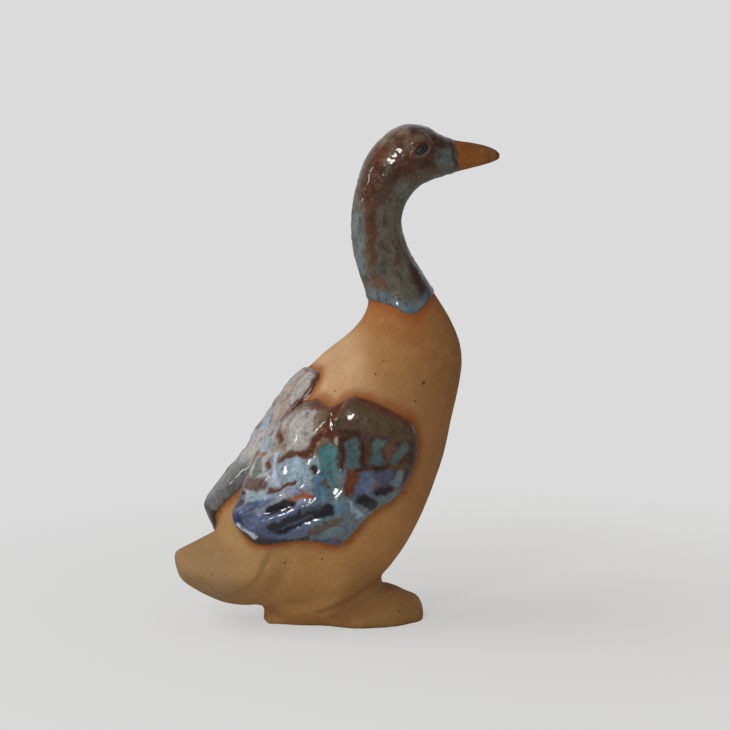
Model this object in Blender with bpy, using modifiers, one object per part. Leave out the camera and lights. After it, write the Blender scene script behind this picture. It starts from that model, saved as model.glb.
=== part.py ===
"""Upright stoneware duck figurine, modelled by hand, part glazed and fired as one solid piece.

The duck looks along +X and stands on the ground plane z = 0, with the middle of its foot's underside
at the origin. Lengths are in metres. A section is a slice across the duck: its middle, its tilt, its
depth from back to front and its width from side to side.
"""

import math

import bmesh
import bpy
from mathutils import Matrix, Vector

# Foot: the pad of clay under the duck, narrow and thin at the heel and rounded at the toes.
FOOT_LENGTH = 0.0323
FOOT_WIDTH = 0.0235
FOOT_THICKNESS = 0.0046
FOOT_BACK = 0.0163

# Haunch: one short block that carries the belly's sides down on to the foot.
HAUNCH_DEPTH = 0.0245
HAUNCH_WIDTH = 0.0200
HAUNCH_HEIGHT = 0.0085
HAUNCH_SET_BACK = 0.0045

# Body: an egg that leans forward, from the top of the foot to the start of the neck.
BODY_HEIGHT = 0.0608
BODY_DEPTH = 0.037
BODY_WIDTH = 0.0345

# Neck: from the body up to the back of the head.
NECK_HEIGHT = 0.0197
NECK_DEPTH = 0.0100
NECK_WIDTH = 0.0098

# Head and bill.
HEAD_LENGTH = 0.0161
HEAD_DEPTH = 0.0140
HEAD_WIDTH = 0.0122
BILL_LENGTH = 0.0098
BILL_DEPTH = 0.0064
BILL_WIDTH = 0.0068
EYE_LENGTH = 0.0028
EYE_HEIGHT = 0.0019
EYE_STANDS_OUT = 0.0004
EYE_RIM_DIAMETER = 0.0039
EYE_RIM_THICKNESS = 0.0008
EYE_RIM_SINK = 0.0002
EYE_STATION = 2.5
EYE_TURN = math.radians(106)
EYE_SLANT = math.radians(32)

# Tail: a wedge with a rim along each side.
TAIL_LENGTH = 0.0246
TAIL_DEPTH = 0.0160
TAIL_WIDTH = 0.0265
TAIL_ROOT_BACK = 0.0035

# Wings: a slab of clay on each side, thicker at its rear edge, with feathers pressed into it.
WING_THICKNESS = 0.0019
WING_REAR_LIFT = 0.0030
WING_ROOT_DEPTH = 0.0020
FEATHER_RELIEF = 0.0012

# Finish of the clay: how far joints are softened, and how fine the surface is.
CLAY_GRAIN = 0.0007
SOFTENING_ROUNDS = 2
KEPT_SHARE = 0.172

POINTS_AROUND = 56
STEPS_BETWEEN_SECTIONS = 4
PERCENT = 0.01


class Section:
    """A slice across the duck, in the duck's mid plane."""

    def __init__(self, x, z, tilt, depth, width, fullness=2.1):
        self.x = x
        self.z = z
        self.tilt = tilt
        self.depth = depth
        self.width = width
        self.fullness = fullness

    def values(self):
        return (self.x, self.z, self.tilt, self.depth, self.width, self.fullness)


def chain(start, length, depth, width, rows, fullness=2.1):
    """Sections that go on from a start point: places in percent of length, sizes in percent of
    depth and width, and tilts in degrees."""
    made = []
    for along_x, along_z, tilt, depth_share, width_share in rows:
        made.append(
            Section(
                start[0] + length * along_x * PERCENT,
                start[1] + length * along_z * PERCENT,
                math.radians(tilt),
                depth * depth_share * PERCENT,
                width * width_share * PERCENT,
                fullness,
            )
        )
    return made


def body_sections():
    """The egg of the body, from its lowest point at the back up to the foot of the neck."""
    rows = (
        (-33.5, 2.5, -36, 26, 34),
        (-28.5, 7.5, -37, 54, 60),
        (-21.5, 12.5, -34, 80, 81),
        (-13.0, 19.5, -22, 95, 91),
        (-6.0, 29.5, -16, 99, 97),
        (-0.3, 40.5, -13, 98, 100),
        (5.2, 52.5, -11, 94.5, 100),
        (9.9, 64.5, -10, 88, 96),
        (14.0, 73.5, -9, 82, 88),
        (18.0, 80.5, -7, 73, 79),
        (21.0, 86.5, -5, 61, 66),
        (21.8, 93.2, -2, 48, 52),
        (20.4, 100.0, 1, 38, 40),
    )
    return chain((0, FOOT_THICKNESS), BODY_HEIGHT, BODY_DEPTH, BODY_WIDTH, rows)


def neck_sections(start):
    rows = (
        (-15, 30, 5, 119, 114),
        (-24, 53, 1, 108, 104),
        (-28, 78, -7, 100, 100),
        (-25, 100, -36, 108, 102),
    )
    return chain(start, NECK_HEIGHT, NECK_DEPTH, NECK_WIDTH, rows)


def head_sections(start):
    rows = (
        (9, 25, -59, 94, 87),
        (25, 44, -75, 98, 97),
        (40, 54, -84, 94, 100),
        (59, 57, -91, 79, 89),
        (79, 55, -91, 60, 70),
        (100, 54, -92, 46, 55),
    )
    return chain(start, HEAD_LENGTH, HEAD_DEPTH, HEAD_WIDTH, rows)


def bill_sections(start):
    rows = (
        (43, 2, -90, 75, 88),
        (77, 1, -94, 46, 62),
        (94, -2, -94, 20, 32),
    )
    return chain(start, BILL_LENGTH, BILL_DEPTH, BILL_WIDTH, rows)


def tail_sections(start):
    """The tail points back from inside the body. Its sections are nearly diamonds."""
    rows = (
        (0, -2, -84, 90, 96),
        (-25, -14, -84, 112, 109),
        (-52, -19, -84, 98, 98),
        (-75, -19, -82, 69, 70),
        (-92, -16, -80, 38, 38),
    )
    return chain(start, TAIL_LENGTH, TAIL_DEPTH, TAIL_WIDTH, rows, fullness=1.5)


def between(before, start, end, after, share):
    """A smooth curve's value between start and end, by Catmull and Rom's rule."""
    square = share * share
    cube = square * share
    return 0.5 * (
        2 * start
        + (end - before) * share
        + (2 * before - 5 * start + 4 * end - after) * square
        + (3 * start - before - 3 * end + after) * cube
    )


def section_at(sections, station):
    """The section at a place between two of the sections, counted in sections from the first."""
    rows = [section.values() for section in sections]
    rows = [rows[0]] + rows + [rows[-1]]
    before = min(int(station), len(sections) - 2)
    quads = zip(*rows[before : before + 4])
    return Section(*(between(*quad, station - before) for quad in quads))


def section_point(section, turn, grow=0.0):
    """The point of a section's edge at an angle from its front, grown outwards by a length."""
    power = 2 / section.fullness
    forward = math.copysign(abs(math.cos(turn)) ** power, math.cos(turn))
    sideways = math.copysign(abs(math.sin(turn)) ** power, math.sin(turn))
    along = (section.depth / 2 + grow) * forward
    x = section.x + along * math.cos(section.tilt)
    z = section.z + along * math.sin(section.tilt)
    return Vector((x, (section.width / 2 + grow) * sideways, z))


def loft(bm, sections, steps=STEPS_BETWEEN_SECTIONS, point_out=0.8):
    """A closed skin through the sections, with a point at each end that stands out by a share of
    the last step."""
    rings = []
    turns = [2 * math.pi * k / POINTS_AROUND for k in range(POINTS_AROUND)]
    for i in range((len(sections) - 1) * steps + 1):
        section = section_at(sections, i / steps)
        rings.append([bm.verts.new(section_point(section, turn)) for turn in turns])
    for ring, following in zip(rings, rings[1:]):
        for k in range(POINTS_AROUND):
            after = (k + 1) % POINTS_AROUND
            bm.faces.new((ring[k], ring[after], following[after], following[k]))
    for ring, inner in ((rings[0], rings[1]), (rings[-1], rings[-2])):
        middle = sum((vert.co for vert in ring), Vector()) / POINTS_AROUND
        inner_middle = sum((vert.co for vert in inner), Vector()) / POINTS_AROUND
        tip = bm.verts.new(middle + (middle - inner_middle) * point_out)
        for k in range(POINTS_AROUND):
            bm.faces.new((ring[k], ring[(k + 1) % POINTS_AROUND], tip))
    bmesh.ops.recalc_face_normals(bm, faces=bm.faces)


def end_of(sections):
    return sections[-1].x, sections[-1].z


def duck_sections():
    """Body, neck, head and bill in one run, each group going on from the one before."""
    body = body_sections()
    neck = neck_sections(end_of(body))
    head = head_sections(end_of(neck))
    bill = bill_sections(end_of(head))
    return body + neck + head + bill


def add_body(bm):
    loft(bm, duck_sections())


def add_tail(bm):
    """The tail starts behind the middle of the belly, well inside it."""
    belly = body_sections()[3]
    loft(bm, tail_sections((belly.x - TAIL_ROOT_BACK, belly.z)))


def eased(rows, share):
    """A value from a table of (share, value) rows, with an easy curve between the rows."""
    for (start, low), (end, high) in zip(rows, rows[1:]):
        if share <= end:
            within = (share - start) / (end - start)
            return low + (high - low) * within * within * (3 - 2 * within)
    return rows[-1][1]


# Foot from heel to toe: share of its length, and share of its full width or thickness there.
FOOT_WIDTHS = ((0.0, 0.24), (0.22, 0.42), (0.57, 0.98), (0.76, 0.94), (0.92, 0.72), (1.0, 0.46))
FOOT_HEIGHTS = ((0.0, 0.5), (0.4, 0.8), (0.8, 1.42), (1.0, 0.9))
FOOT_FULLNESS = 2.4


def add_foot(bm):
    """The pad is lofted along X. It reaches below the ground, where it is cut flat."""
    count = 16
    buried = FOOT_THICKNESS
    sections = []
    for i in range(count + 1):
        share = i / count
        top = FOOT_THICKNESS * eased(FOOT_HEIGHTS, share)
        x = -FOOT_BACK + FOOT_LENGTH * share
        width = FOOT_WIDTH * eased(FOOT_WIDTHS, share)
        middle = (top - buried) / 2
        sections.append(Section(x, middle, math.radians(-90), top + buried, width, FOOT_FULLNESS))
    loft(bm, sections, steps=1, point_out=0.2)


def haunch_sections():
    """From the ground, where it is drawn in, up into the belly."""
    rows = (
        (4, 0, 0, 74, 60),
        (2, 25, 0, 97, 88),
        (3, 52, 0, 100, 100),
        (6, 78, 0, 88, 94),
        (8, 100, 0, 70, 76),
    )
    start = (-HAUNCH_SET_BACK, 0)
    return chain(start, FOOT_THICKNESS + HAUNCH_HEIGHT, HAUNCH_DEPTH, HAUNCH_WIDTH, rows, 2.3)


def add_haunch(bm):
    loft(bm, haunch_sections(), point_out=0.2)


# Places on the body's skin: a station, counted in body sections from the lowest, and degrees round
# from the middle of the back. The wings were shaped by hand, so the two outlines differ.
RIGHT_WING = (
    (3.1, 24),
    (3.7, 20),
    (4.6, 12),
    (5.5, 9),
    (6.2, 14),
    (6.8, 22),
    (7.1, 34),
    (7.0, 48),
    (7.45, 60),
    (7.4, 74),
    (7.15, 92),
    (6.9, 105),
    (6.4, 114),
    (5.6, 117),
    (5.0, 112),
    (4.6, 102),
    (4.1, 98),
    (3.45, 94),
    (3.35, 82),
    (3.1, 69),
    (2.65, 60),
    (2.3, 50),
    (2.5, 36),
)
LEFT_WING = (
    (2.2, 15),
    (3.1, 7),
    (3.9, -5),
    (5.0, -11),
    (6.2, -15),
    (7.0, -24),
    (7.9, -21),
    (8.0, 0),
    (7.8, 30),
    (7.5, 55),
    (7.4, 74),
    (7.2, 90),
    (6.8, 102),
    (6.3, 109),
    (5.6, 112),
    (5.0, 108),
    (4.5, 99),
    (4.0, 96),
    (3.3, 93),
    (3.1, 82),
    (2.8, 69),
    (2.2, 58),
    (1.65, 44),
    (1.55, 28),
)
WING_MIDDLE = (4.9, 60)

# How far one station and one degree reach over the body's side, near enough to lay out feathers.
STATION_LENGTH = BODY_HEIGHT * 0.115
DEGREE_LENGTH = math.pi * (BODY_DEPTH + BODY_WIDTH) / 2 / 360

# Feathers: station and degrees where each starts and where it ends, its width in percent of a
# station, and how far it stands out in percent of the relief, or less than nothing where it is a dent.
FEATHERS = (
    (7.75, -12, 6.95, -17, 70, 80),
    (7.95, 6, 6.85, 1, 84, 90),
    (7.80, 27, 7.05, 25, 74, 80),
    (7.10, 60, 6.65, 108, 120, 100),
    (7.00, 34, 5.95, 48, 134, 100),
    (6.40, 17, 5.55, 21, 62, 60),
    (6.20, 61, 4.80, 75, 50, -70),
    (6.30, 76, 5.55, 79, 46, -60),
    (6.30, 88, 5.65, 91, 40, -60),
    (6.20, 101, 5.85, 104, 36, -55),
    (5.50, 88, 4.85, 92, 46, -60),
    (5.65, 101, 5.05, 105, 52, -60),
    (5.75, 50, 5.00, 56, 54, 55),
    (5.60, 35, 4.85, 41, 44, 60),
    (5.45, 19, 4.75, 22, 50, -45),
    (4.70, 25, 4.05, 27, 52, 50),
    (4.70, 79, 3.60, 93, 62, 70),
    (5.00, 64, 3.60, 37, 38, 90),
    (4.60, 73, 3.00, 43, 40, 90),
    (4.10, 82, 3.15, 64, 36, 70),
    (4.05, 36, 2.65, 37, 50, 90),
)
FEATHER_OVERRUN = 0.15


def feather_height(station, degrees):
    """How far the feathers stand out at a place, from -1 to 1. They overlap like shingles: each one
    rises towards its free end and then stops short."""
    highest = 0.0
    lowest = 0.0
    for start, start_turn, end, end_turn, width, rise in FEATHERS:
        run = Vector(((end - start) * STATION_LENGTH, (end_turn - start_turn) * DEGREE_LENGTH))
        away = Vector(((station - start) * STATION_LENGTH, (degrees - start_turn) * DEGREE_LENGTH))
        along = away.dot(run) / run.length_squared
        if not -FEATHER_OVERRUN < along < 1 + FEATHER_OVERRUN:
            continue
        across = (away - run * along).length / (width * PERCENT * STATION_LENGTH / 2)
        from_middle = (along - 0.5) / (0.5 + FEATHER_OVERRUN)
        left = 1 - across * across - from_middle**4
        if left > 0:
            height = rise * PERCENT * math.sqrt(left) * (0.7 + 0.3 * along)
            highest = max(highest, height)
            lowest = min(lowest, height)
    return highest + lowest


# The wing's rear edge lifts off the back: from nothing at one place to all of its lift at another.
LIFT_BY_DEGREES = (62, 22)
LIFT_BY_STATION = (6.0, 3.2)

# Where a wing lies over the middle of the back, at its top, it thins to a share of its thickness.
THIN_BY_DEGREES = (45, 15)
THIN_BY_STATION = (6.4, 7.4)
THINNEST = 0.5

RIM_SQUARENESS = 8


def share_between(ends, value):
    nothing, everything = ends
    return min(1.0, max(0.0, (value - nothing) / (everything - nothing)))


def wing_lift(station, degrees, rim_share):
    """How far the wing's face stands off the body: thin in front, and proud along its rear edge."""
    rim = math.sqrt(1 - rim_share**RIM_SQUARENESS)
    rear = share_between(LIFT_BY_DEGREES, degrees) * share_between(LIFT_BY_STATION, station)
    thin = share_between(THIN_BY_DEGREES, degrees) * share_between(THIN_BY_STATION, station)
    face = WING_THICKNESS + FEATHER_RELIEF * feather_height(station, degrees)
    return rim * (WING_REAR_LIFT * rear + face * (1 - (1 - THINNEST) * thin))


def smooth_outline(points, steps):
    """A closed smooth curve through the points."""
    count = len(points)
    made = []
    for i in range(count):
        around = [points[(i + k) % count] for k in (-1, 0, 1, 2)]
        for step in range(steps):
            made.append([between(*axis, step / steps) for axis in zip(*around)])
    return made


def add_wing(bm, outline, side):
    """A wing as a slab of clay that follows the body. side is -1 for the right and 1 for the left."""
    body = body_sections()
    outline = smooth_outline(outline, 5)
    count = len(outline)
    rings_out = 28

    def place(station, degrees, lift):
        turn = math.pi - side * math.radians(degrees)
        return bm.verts.new(section_point(section_at(body, station), turn, lift))

    def grid(lift_at):
        rings = [[place(*WING_MIDDLE, lift_at(*WING_MIDDLE, 0))]]
        for i in range(1, rings_out + 1):
            share = i / rings_out
            ring = []
            for edge_station, edge_degrees in outline:
                station = WING_MIDDLE[0] + (edge_station - WING_MIDDLE[0]) * share
                degrees = WING_MIDDLE[1] + (edge_degrees - WING_MIDDLE[1]) * share
                ring.append(place(station, degrees, lift_at(station, degrees, share)))
            rings.append(ring)
        return rings

    face = grid(wing_lift)
    root = grid(lambda station, degrees, rim_share: -WING_ROOT_DEPTH)
    for rings in (face, root):
        for k in range(count):
            bm.faces.new((rings[0][0], rings[1][k], rings[1][(k + 1) % count]))
        for ring, following in zip(rings[1:], rings[2:]):
            for k in range(count):
                after = (k + 1) % count
                bm.faces.new((ring[k], following[k], following[after], ring[after]))
    for k in range(count):
        after = (k + 1) % count
        bm.faces.new((face[-1][k], root[-1][k], root[-1][after], face[-1][after]))
    bmesh.ops.recalc_face_normals(bm, faces=bm.faces)


def add_wings(bm):
    add_wing(bm, RIGHT_WING, -1)
    add_wing(bm, LEFT_WING, 1)


def skin_frame(sections, station, turn, side):
    """A place on a side of the skin, and a rotation whose X runs forward along the skin there and
    whose Y runs square to it."""
    step = 0.05
    place = section_point(section_at(sections, station), side * turn)
    forward = (section_point(section_at(sections, station + step), side * turn) - place).normalized()
    down = section_point(section_at(sections, station), side * (turn - step)) - place
    square = forward.cross(down).normalized()
    return place, Matrix((forward, square, forward.cross(square))).transposed().to_4x4()


def add_eyes(bm):
    """A bead inside a raised rim on each side of the head."""
    neck = neck_sections(end_of(body_sections()))
    head = head_sections(end_of(neck))
    slant = Matrix.Rotation(-EYE_SLANT, 4, "Y")
    for side in (-1, 1):
        place, facing = skin_frame(head, EYE_STATION, EYE_TURN, side)
        made = bmesh.ops.create_uvsphere(bm, u_segments=16, v_segments=8, radius=EYE_LENGTH / 2)
        for vert in made["verts"]:
            vert.co.z *= EYE_HEIGHT / EYE_LENGTH
            vert.co.y = vert.co.y * 0.7 + side * (EYE_STANDS_OUT - 0.35 * EYE_LENGTH)
            vert.co = place + facing @ slant @ vert.co
        place -= facing @ Vector((0, side * EYE_RIM_SINK, 0))
        add_ring(bm, place, facing, EYE_RIM_DIAMETER / 2, EYE_RIM_THICKNESS / 2)


def add_ring(bm, place, facing, radius, thickness):
    """A closed ring round the Y axis, turned to face a direction."""
    around = 20
    across = 6
    rings = []
    for i in range(around):
        turn = 2 * math.pi * i / around
        ring = []
        for k in range(across):
            bend = 2 * math.pi * k / across
            reach = radius + thickness * math.cos(bend)
            point = Vector((reach * math.cos(turn), thickness * math.sin(bend), reach * math.sin(turn)))
            ring.append(bm.verts.new(place + facing @ point))
        rings.append(ring)
    for i in range(around):
        ring = rings[i]
        following = rings[(i + 1) % around]
        for k in range(across):
            after = (k + 1) % across
            bm.faces.new((ring[k], ring[after], following[after], following[k]))


def clay(name, colour, roughness):
    material = bpy.data.materials.new(name)
    material.use_nodes = True
    shader = material.node_tree.nodes["Principled BSDF"]
    shader.inputs["Base Color"].default_value = (*colour, 1)
    shader.inputs["Roughness"].default_value = roughness
    return material


def linked(name, mesh, collection):
    made = bpy.data.objects.new(name, mesh)
    collection.objects.link(made)
    return made


def cutter(name, mesh, collection):
    made = linked(name, mesh, collection)
    made.hide_render = True
    made.display_type = "WIRE"
    return made


def mesh_of(name, bm):
    mesh = bpy.data.meshes.new(name)
    bm.to_mesh(mesh)
    bm.free()
    return mesh


def ground_cutter(collection):
    """A block whose top is the ground, which cuts the foot's underside flat."""
    side = BODY_HEIGHT * 3
    bm = bmesh.new()
    bmesh.ops.create_cube(bm, size=side)
    bmesh.ops.translate(bm, verts=bm.verts, vec=(0, 0, -side / 2))
    return cutter("ground_block", mesh_of("ground_block", bm), collection)


def eye_lumps(collection):
    bm = bmesh.new()
    add_eyes(bm)
    bmesh.ops.recalc_face_normals(bm, faces=bm.faces)
    return cutter("eye_lumps", mesh_of("eye_lumps", bm), collection)


def build_duck(parts, cutters):
    bm = bmesh.new()
    add_body(bm)
    add_tail(bm)
    add_foot(bm)
    add_haunch(bm)
    add_wings(bm)
    duck = linked("duck", mesh_of("duck", bm), parts)
    duck.data.materials.append(clay("stoneware", (0.42, 0.24, 0.11), 0.7))

    joined = duck.modifiers.new("clay joined into one", "REMESH")
    joined.mode = "VOXEL"
    joined.voxel_size = CLAY_GRAIN

    softened = duck.modifiers.new("joints softened", "SMOOTH")
    softened.factor = 0.5
    softened.iterations = SOFTENING_ROUNDS

    thinned = duck.modifiers.new("fewer faces where flat", "DECIMATE")
    thinned.ratio = KEPT_SHARE

    eyes = duck.modifiers.new("eyes", "BOOLEAN")
    eyes.operation = "UNION"
    eyes.object = eye_lumps(cutters)

    ground = duck.modifiers.new("flat underside", "BOOLEAN")
    ground.operation = "DIFFERENCE"
    ground.object = ground_cutter(cutters)
    return duck


def collection(name):
    made = bpy.data.collections.new(name)
    bpy.context.scene.collection.children.link(made)
    return made


def clear_scene():
    for old in list(bpy.data.objects):
        bpy.data.objects.remove(old)


def main():
    clear_scene()
    build_duck(collection("duck_figurine"), collection("cutters"))


main()
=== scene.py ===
import math

import bmesh
import bpy
import numpy as np
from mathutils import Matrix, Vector, noise


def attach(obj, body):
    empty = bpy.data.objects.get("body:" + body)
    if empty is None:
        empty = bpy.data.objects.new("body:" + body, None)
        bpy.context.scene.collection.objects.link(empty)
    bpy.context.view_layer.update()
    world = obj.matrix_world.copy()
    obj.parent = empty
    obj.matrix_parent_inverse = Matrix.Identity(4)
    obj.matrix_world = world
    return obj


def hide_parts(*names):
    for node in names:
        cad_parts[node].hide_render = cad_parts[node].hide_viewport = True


# Part-glazed stoneware duck, 100 mm tall. It looks along +X and stands on z = 0. Lengths are metres where
# they carry MM or belong to the studio, and millimetres otherwise. The sections follow its making: clay
# body, wings, eyes, feathers, glaze, hand marks, colours and firing, then the studio round it.
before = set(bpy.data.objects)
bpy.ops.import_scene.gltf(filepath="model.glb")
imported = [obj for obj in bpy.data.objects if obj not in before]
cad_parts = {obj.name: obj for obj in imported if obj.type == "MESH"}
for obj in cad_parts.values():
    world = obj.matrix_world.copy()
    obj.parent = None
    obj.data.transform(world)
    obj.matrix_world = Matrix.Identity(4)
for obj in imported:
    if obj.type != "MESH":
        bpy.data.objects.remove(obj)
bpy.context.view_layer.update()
MM = 0.001


# Clay body
# One solid lump of stoneware clay, pinched into body, neck, head, tail and foot and smoothed by hand.
# The CAD solid gives its form. A skin of small even faces lets the finer hand work show on it.
SKIN_GRAIN = 0.60 * MM
FACET_SMOOTHING = 5


def clay_lump():
    """The solid's form as a mesh of even faces, with the facets of the solid smoothed away."""
    lump = bpy.data.objects.new("clay_lump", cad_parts["duck"].data.copy())
    bpy.context.scene.collection.objects.link(lump)
    bm = bmesh.new()
    bm.from_mesh(lump.data)
    bmesh.ops.remove_doubles(bm, verts=bm.verts, dist=0.001 * MM)
    bm.to_mesh(lump.data)
    bm.free()
    even = lump.modifiers.new("even faces", "REMESH")
    even.mode = "VOXEL"
    even.voxel_size = SKIN_GRAIN
    smooth = lump.modifiers.new("facets smoothed", "SMOOTH")
    smooth.factor = 0.5
    smooth.iterations = FACET_SMOOTHING
    graph = bpy.context.evaluated_depsgraph_get()
    skin = bpy.data.meshes.new_from_object(lump.evaluated_get(graph))
    bpy.data.objects.remove(lump)
    return skin


def chain(start, length, depth, width, rows):
    """Slices across the duck, in millimetres: x, z, tilt in radians, depth and width."""
    made = []
    for along_x, along_z, tilt, depth_share, width_share in rows:
        x = start[0] + length * along_x / 100
        z = start[1] + length * along_z / 100
        made.append((x, z, math.radians(tilt), depth * depth_share / 100, width * width_share / 100))
    return made


# The same slices as the solid's, from the foot of the body to the tip of the bill. A place on the skin
# is a station, counted in slices, and degrees round from the middle of the back.
FOOT_THICKNESS = 4.6
BODY = chain(
    (0, FOOT_THICKNESS),
    60.8,
    37.0,
    34.5,
    (
        (-33.5, 2.5, -36, 26, 34),
        (-28.5, 7.5, -37, 54, 60),
        (-21.5, 12.5, -34, 80, 81),
        (-13.0, 19.5, -22, 95, 91),
        (-6.0, 29.5, -16, 99, 97),
        (-0.3, 40.5, -13, 98, 100),
        (5.2, 52.5, -11, 94.5, 100),
        (9.9, 64.5, -10, 88, 96),
        (14.0, 73.5, -9, 82, 88),
        (18.0, 80.5, -7, 73, 79),
        (21.0, 86.5, -5, 61, 66),
        (21.8, 93.2, -2, 48, 52),
        (20.4, 100.0, 1, 38, 40),
    ),
)
NECK = chain(
    BODY[-1],
    19.7,
    10.0,
    9.8,
    ((-15, 30, 5, 119, 114), (-24, 53, 1, 108, 104), (-28, 78, -7, 100, 100), (-25, 100, -36, 108, 102)),
)
HEAD = chain(
    NECK[-1],
    16.1,
    14.0,
    12.2,
    (
        (9, 25, -59, 94, 87),
        (25, 44, -75, 98, 97),
        (40, 54, -84, 94, 100),
        (59, 57, -91, 79, 89),
        (79, 55, -91, 60, 70),
        (100, 54, -92, 46, 55),
    ),
)
BILL = chain(HEAD[-1], 9.8, 6.4, 6.8, ((43, 2, -90, 75, 88), (77, 1, -94, 46, 62), (94, -2, -94, 20, 32)))
SPINE = np.array(BODY + NECK + HEAD + BILL)
NECK_STATION = len(BODY)
HEAD_STATION = len(BODY) + len(NECK)
BILL_STATION = HEAD_STATION + len(HEAD)
FULLNESS = 2.1

# How a point's place on the skin is searched for: the steps in stations, and millimetres for the rest.
COARSE_STEP = 0.05
FINE_STEP = 0.02
LARGEST_MOVE = 0.1
SEARCH_ROUNDS = 4
LAST_STATION = len(SPINE) - 1.03
THINNEST = 0.5
POINTS_AT_ONCE = 4000


def spine_at(stations):
    """The slices at places between the named ones, by the same smooth curve as the solid's."""
    rows = np.vstack([SPINE[0], SPINE, SPINE[-1]])
    first = np.clip(stations.astype(int), 0, len(SPINE) - 2)
    share = (stations - first)[:, None]
    before, start, end, after = (rows[first + k] for k in range(4))
    return 0.5 * (
        2 * start
        + (end - before) * share
        + (2 * before - 5 * start + 4 * end - after) * share**2
        + (3 * start - before - 3 * end + after) * share**3
    )


def beyond_and_along(points, x, z, tilt):
    """Millimetres past each slice, and along it from its middle towards the breast."""
    forward = points[:, 0] - x
    upward = points[:, 2] - z
    return upward * np.cos(tilt) - forward * np.sin(tilt), forward * np.cos(tilt) + upward * np.sin(tilt)


def nearest_marks(points):
    """A first station for each point, by the slice that it lies nearest to the plane of."""
    marks = np.arange(0, len(SPINE) - 1, COARSE_STEP)
    x, z, tilt, depth, _ = spine_at(marks).T
    nearest = []
    for some in np.array_split(points, len(points) // POINTS_AT_ONCE + 1):
        beyond, along = beyond_and_along(some[..., None], x, z, tilt)
        outside = np.maximum(0, np.abs(along) - 0.7 * depth)
        nearest.append(np.argmin(np.abs(beyond) + 2 * outside, axis=1))
    return marks[np.concatenate(nearest)]


def places_on_skin(points):
    """Station, degrees from mid-back and height above the slices for points in millimetres."""
    station = nearest_marks(points)
    for _ in range(SEARCH_ROUNDS):
        beyond, _ = beyond_and_along(points, *spine_at(station).T[:3])
        ahead, _ = beyond_and_along(points, *spine_at(station + FINE_STEP).T[:3])
        move = beyond / np.minimum(-1e-3, (ahead - beyond) / FINE_STEP)
        station = np.clip(station - np.clip(move, -LARGEST_MOVE, LARGEST_MOVE), 0, LAST_STATION)
    x, z, tilt, depth, width = spine_at(station).T
    _, along = beyond_and_along(points, x, z, tilt)
    lift = np.zeros(len(points))
    for _ in range(SEARCH_ROUNDS):
        front = np.abs(along / np.maximum(depth / 2 + lift, THINNEST)) ** FULLNESS
        side = np.abs(points[:, 1] / np.maximum(width / 2 + lift, THINNEST)) ** FULLNESS
        lift += ((front + side) ** (1 / FULLNESS) - 1) * (depth + width) / 4
    turn = np.degrees(np.arctan2(np.sqrt(side), np.sqrt(front) * np.sign(along)))
    return station, 180 - turn, lift


def subdivide_where(bm, wanted):
    """Four small faces for each face whose corners are all wanted."""
    edges = [edge for edge in bm.edges if wanted[edge.verts[0].index] and wanted[edge.verts[1].index]]
    bmesh.ops.subdivide_edges(bm, edges=edges, cuts=1, use_grid_fill=True)
    bmesh.ops.triangulate(bm, faces=[face for face in bm.faces if len(face.verts) > 4])
    bm.verts.index_update()


def points_of(bm):
    """The mesh's points in millimetres."""
    return np.array([vert.co for vert in bm.verts]) / MM


def drift(points, size, seed):
    """A smooth random value from -1 to 1 at each point, whose lumps are about size millimetres."""
    shift = Vector((seed * 17.3, seed * 5.1, seed * 9.7))
    return np.array([noise.noise(Vector(point) / size + shift) for point in points])


def ridge(value, middle, width):
    """A soft ridge, 1 high at its middle."""
    return np.exp(-(((value - middle) / width) ** 2))


def smooth_skin(bm, chosen, passes):
    """Evens out the chosen points of the skin."""
    for _ in range(passes):
        bmesh.ops.smooth_vert(
            bm,
            verts=[vert for vert in bm.verts if chosen[vert.index]],
            factor=0.5,
            use_axis_x=True,
            use_axis_y=True,
            use_axis_z=True,
        )


def ease(low, high, value):
    """From 0 at low to 1 at high, with an easy curve between."""
    share = np.clip((value - low) / (high - low), 0, 1)
    return share * share * (3 - 2 * share)


# Wings
# A slab of clay on each side, with feathers pressed and cut into it. The two were shaped by hand, so
# they differ: the left one's shoulder laps over the middle of the back.
RIGHT_WING = (
    (3.1, 24),
    (3.7, 20),
    (4.6, 12),
    (5.5, 9),
    (6.2, 14),
    (6.8, 22),
    (7.1, 34),
    (7.0, 48),
    (7.45, 60),
    (7.4, 74),
    (7.15, 92),
    (6.9, 105),
    (6.4, 114),
    (5.6, 117),
    (5.0, 112),
    (4.6, 102),
    (4.1, 98),
    (3.45, 94),
    (3.35, 82),
    (3.1, 69),
    (2.65, 60),
    (2.3, 50),
    (2.5, 36),
)
LEFT_WING = (
    (2.2, 15),
    (3.1, 7),
    (3.9, -5),
    (5.0, -11),
    (6.2, -15),
    (7.0, -24),
    (7.9, -21),
    (8.0, 0),
    (7.8, 30),
    (7.5, 55),
    (7.4, 74),
    (7.2, 90),
    (6.8, 102),
    (6.3, 109),
    (5.6, 112),
    (5.0, 108),
    (4.5, 99),
    (4.0, 96),
    (3.3, 93),
    (3.1, 82),
    (2.8, 69),
    (2.2, 58),
    (1.65, 44),
    (1.55, 28),
)
STATION_REACH = 7.0
DEGREE_REACH = 0.312

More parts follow.
